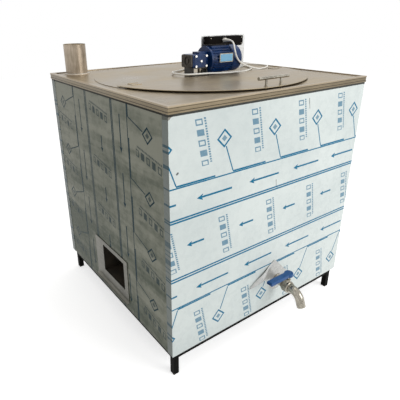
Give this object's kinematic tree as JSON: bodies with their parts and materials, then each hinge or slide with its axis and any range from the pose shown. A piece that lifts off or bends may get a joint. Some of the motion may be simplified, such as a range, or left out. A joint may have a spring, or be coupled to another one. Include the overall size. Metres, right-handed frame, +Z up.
{
  "type": "milk vat",
  "caption": "Free-standing stainless milk vat with a round heated vessel in a square casing, a half lid, a geared stirrer, a fire tube with chimney and a drain tap",
  "frame": {"origin": "bottom centre of the bounding box, on the floor", "axes": "+X toward the side away from the fire opening, +Y toward the chimney and away from the tap, +Z up"},
  "size_m": [1.0572, 1.1772, 1.2609],
  "materials": {
    "deck_steel": "brushed stainless sheet with light wear",
    "panel_film": "stainless panel under printed protective film",
    "bare_steel": "plain rolled stainless",
    "polished_steel": "polished stainless fittings",
    "black_paint": "black painted steel tube",
    "motor_blue": "dark blue paint",
    "black_plastic": "moulded black plastic",
    "white_plastic": "moulded white plastic",
    "grey_plate": "folded light sheet",
    "blue_vinyl": "dipped blue vinyl grip",
    "white_cord": "round flexible mains lead",
    "seal_rubber": "food grade seal",
    "lagging_wool": "mineral wool wrap",
    "heat_iron": "heavy steel plate darkened by heat",
    "bush_plastic": "white bearing plastic"
  },
  "bodies": {
    "casing": {"post_front_left": "black_paint", "post_front_right": "black_paint", "post_back_left": "black_paint", "post_back_right": "black_paint", "leg_plugs": "black_plastic", "base_rails_long": "black_paint", "base_rails_side": "black_paint", "mid_rails": "black_paint", "jacket_bearers": "black_paint", "front_panel": "panel_film", "back_panel": "panel_film", "left_panel": "panel_film", "right_panel": "panel_film", "top_plate": "deck_steel", "vessel_wall": "bare_steel", "vessel_floor": "bare_steel", "water_jacket": "bare_steel", "lagging": "lagging_wool", "fire_tube": "heat_iron", "flue_pipe": "heat_iron", "chimney_stub": "deck_steel", "fire_surround": "bare_steel", "rear_cover": "deck_steel", "bridge_beam": "bare_steel", "lid_seal": "seal_rubber", "hinge_fixed_leaves": "deck_steel", "hinge_pins": "polished_steel", "gearbox_stand": "bare_steel", "gearbox_case": "motor_blue", "gearbox_cover": "motor_blue", "gearbox_cover_bolts": "polished_steel", "gearbox_end_cap": "bare_steel", "motor_flange": "motor_blue", "motor_body": "motor_blue", "terminal_lid": "black_plastic", "fan_cowl": "motor_blue", "motor_pad": "seal_rubber", "run_capacitor": "white_plastic", "control_plate": "grey_plate", "control_box": "black_plastic", "cable_gland": "white_plastic", "foot_bush": "bush_plastic", "drain_pipe": "bare_steel", "pipe_escutcheon": "polished_steel", "valve_body": "polished_steel", "spout": "polished_steel", "mains_cord": "white_cord", "cord_coil": "white_cord", "mains_plug": "white_plastic"},
    "lid": {"front_lid": "deck_steel", "hinge_lid_leaves": "deck_steel", "lid_handle": "polished_steel"},
    "stirrer": {"stirrer_shaft": "polished_steel", "stirrer_paddles": "bare_steel"},
    "rotor": {"motor_shaft": "polished_steel", "motor_fan": "black_plastic"},
    "tap_lever": {"valve_lever": "polished_steel", "lever_sleeve": "blue_vinyl", "valve_stem": "polished_steel", "valve_ball": "polished_steel"}
  },
  "joints": [
    {"name": "front_lid_hinge", "type": "hinge", "parent": "casing", "child": "lid", "pos_m": [0.00565, 0.00309, 1.1032], "axis": [-1, 0, 0], "range_deg": [0, 90]},
    {"name": "agitator_spin", "type": "hinge", "parent": "casing", "child": "stirrer", "pos_m": [0.00565, 0.08109, 0.8], "axis": [0, 0, 1], "continuous": true},
    {"name": "motor_spin", "type": "hinge", "parent": "casing", "child": "rotor", "pos_m": [0.15565, 0.08109, 1.163], "axis": [1, 0, 0], "continuous": true},
    {"name": "tap_lever_turn", "type": "hinge", "parent": "casing", "child": "tap_lever", "pos_m": [0.06565, -0.48591, 0.297], "axis": [0, 0, 1], "range_deg": [0, 90]}
  ],
  "couplings": [
    {"joint": "motor_spin", "follows": "agitator_spin", "ratio": 30}
  ]
}
